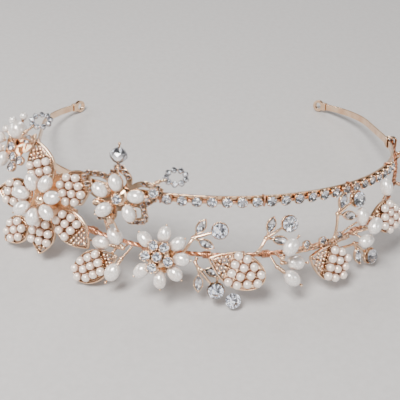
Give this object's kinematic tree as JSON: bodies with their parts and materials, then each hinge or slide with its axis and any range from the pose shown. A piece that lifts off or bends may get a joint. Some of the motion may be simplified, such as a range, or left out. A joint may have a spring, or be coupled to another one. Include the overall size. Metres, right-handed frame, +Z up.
{
  "type": "bridal tiara",
  "caption": "Sprung hair hoop with a rhinestone cup chain and a front vine of cast leaves, pearl flowers and crystal sprigs.",
  "frame": {"origin": "on the table, under the middle of the tiara's outside box", "axes": "+Z up off the table, +X from the wearer's right side of the front to the other side, -Y out of the decorated front"},
  "size_m": [0.1567, 0.1295, 0.0448],
  "materials": {
    "rose_gold": "polished pale rose gold plating",
    "copper_wire": "bright copper-coloured wire",
    "pearl": "pearly white with a faint pink sheen",
    "crystal": "faceted foil-backed clear glass"
  },
  "bodies": {
    "tiara": {"band": "rose_gold", "left_end_ring": "rose_gold", "right_end_ring": "rose_gold", "chain_cups": "rose_gold", "chain_links": "copper_wire", "chain_stones": "crystal", "chain_clips": "copper_wire", "vine_wire": "copper_wire", "vine_bindings": "copper_wire", "join_collars": "rose_gold", "leaf_flower_plate": "rose_gold", "top_leaf": "rose_gold", "right_leaf": "rose_gold", "lower_right_leaf": "rose_gold", "bottom_leaf": "rose_gold", "lower_left_leaf": "rose_gold", "left_leaf": "rose_gold", "leaf_flower_seed_pearls": "pearl", "leaf_flower_rice_pearls": "pearl", "band_flower_frame": "rose_gold", "band_flower_ovals": "pearl", "drop_bead_wire": "rose_gold", "side_flower_disc": "rose_gold", "side_flower_leaf": "rose_gold", "side_flower_big_pearl": "pearl", "side_flower_pearls": "pearl", "bead_loop_wires": "rose_gold", "bead_loop_beads": "crystal", "pearl_flower_disc": "rose_gold", "pearl_flower_pearls": "pearl", "stone_cups": "rose_gold", "set_stones": "crystal", "pave_stones": "crystal", "leaf_bud_1": "rose_gold", "leaf_bud_2": "rose_gold", "leaf_bud_3": "rose_gold", "leaf_bud_4": "rose_gold", "leaf_bud_5": "rose_gold", "leaf_bud_pearls": "pearl", "sprig_one": "rose_gold", "sprig_two": "rose_gold", "sprig_three": "rose_gold", "drop_sprig": "rose_gold", "low_sprig": "rose_gold", "lone_crystal": "rose_gold", "right_end_sprig": "rose_gold", "round_crystals": "crystal", "navette_crystals": "crystal", "branch_casting": "rose_gold", "right_pearl_cluster": "pearl", "pearl_wires": "rose_gold"},
    "pearl_1": {"wired_pearl_1": "pearl"},
    "pearl_2": {"wired_pearl_2": "pearl"},
    "pearl_3": {"wired_pearl_3": "pearl"},
    "pearl_4": {"wired_pearl_4": "pearl"},
    "pearl_5": {"wired_pearl_5": "pearl"},
    "pearl_6": {"wired_pearl_6": "pearl"},
    "bead": {"drop_bead": "crystal"}
  },
  "joints": [
    {"name": "pearl_1_turn", "type": "hinge", "parent": "tiara", "child": "pearl_1", "pos_m": [-0.04213, -0.04304, 0.0114], "axis": [-0.8814, 0.4686, -0.0604], "continuous": true},
    {"name": "pearl_2_turn", "type": "hinge", "parent": "tiara", "child": "pearl_2", "pos_m": [-0.03771, -0.04657, 0.01675], "axis": [-0.5285, 0.6606, 0.5332], "continuous": true},
    {"name": "pearl_3_turn", "type": "hinge", "parent": "tiara", "child": "pearl_3", "pos_m": [-0.03868, -0.05447, 0.00887], "axis": [-0.5311, -0.2359, -0.8138], "continuous": true},
    {"name": "pearl_4_turn", "type": "hinge", "parent": "tiara", "child": "pearl_4", "pos_m": [0.01479, -0.0583, 0.02042], "axis": [0.6138, 0.461, 0.6409], "continuous": true},
    {"name": "pearl_5_turn", "type": "hinge", "parent": "tiara", "child": "pearl_5", "pos_m": [0.0174, -0.05678, 0.01288], "axis": [0.9733, 0.167, -0.1574], "continuous": true},
    {"name": "pearl_6_turn", "type": "hinge", "parent": "tiara", "child": "pearl_6", "pos_m": [0.01588, -0.0606, 0.00997], "axis": [0.769, -0.1108, -0.6296], "continuous": true},
    {"name": "bead_turn", "type": "hinge", "parent": "tiara", "child": "bead", "pos_m": [-0.03626, -0.03926, 0.04136], "axis": [0.097, 0.5243, 0.846], "continuous": true}
  ]
}
